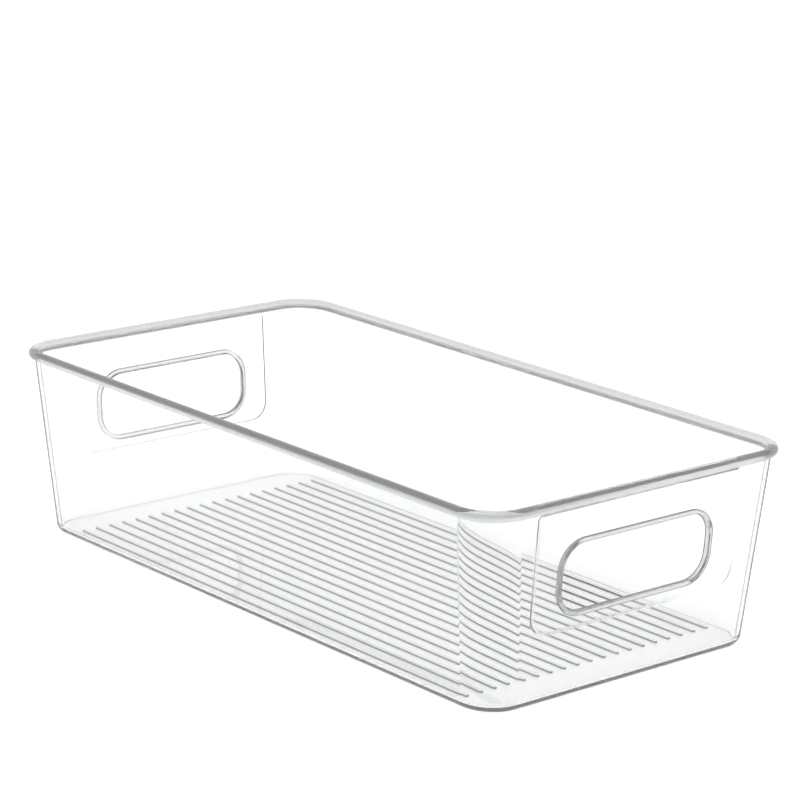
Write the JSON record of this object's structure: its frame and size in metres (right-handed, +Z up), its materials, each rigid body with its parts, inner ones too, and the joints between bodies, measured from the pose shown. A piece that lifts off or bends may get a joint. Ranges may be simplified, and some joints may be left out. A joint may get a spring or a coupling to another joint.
{
  "type": "fridge bin",
  "caption": "Clear open-topped storage bin with drafted walls, a ribbed floor, a rounded outward rim and a lipped hand hole in each end.",
  "frame": {"origin": "centre of the footprint at the level of the surface the bin stands on", "axes": "+X along the bin, through the hand holes; +Y across it; +Z up"},
  "size_m": [0.38, 0.2, 0.1],
  "materials": {
    "clear_plastic": "water-clear, polished, one injection moulding"
  },
  "bodies": {
    "root": {"floor_panel": "clear_plastic", "floor_rib_01": "clear_plastic", "floor_rib_02": "clear_plastic", "floor_rib_03": "clear_plastic", "floor_rib_04": "clear_plastic", "floor_rib_05": "clear_plastic", "floor_rib_06": "clear_plastic", "floor_rib_07": "clear_plastic", "floor_rib_08": "clear_plastic", "floor_rib_09": "clear_plastic", "floor_rib_10": "clear_plastic", "floor_rib_11": "clear_plastic", "floor_rib_12": "clear_plastic", "floor_rib_13": "clear_plastic", "floor_rib_14": "clear_plastic", "floor_rib_15": "clear_plastic", "floor_rib_16": "clear_plastic", "floor_rib_17": "clear_plastic", "floor_rib_18": "clear_plastic", "floor_rib_19": "clear_plastic", "long_wall_front": "clear_plastic", "long_wall_back": "clear_plastic", "end_wall_right": "clear_plastic", "end_wall_left": "clear_plastic", "corner_front_left": "clear_plastic", "corner_front_right": "clear_plastic", "corner_back_left": "clear_plastic", "corner_back_right": "clear_plastic", "handle_panel_right": "clear_plastic", "handle_panel_left": "clear_plastic", "handle_lip_right": "clear_plastic", "handle_lip_left": "clear_plastic", "rim_rail_front": "clear_plastic", "rim_rail_back": "clear_plastic", "rim_rail_right": "clear_plastic", "rim_rail_left": "clear_plastic", "rim_corner_front_left": "clear_plastic", "rim_corner_front_right": "clear_plastic", "rim_corner_back_left": "clear_plastic", "rim_corner_back_right": "clear_plastic"}
  },
  "joints": []
}
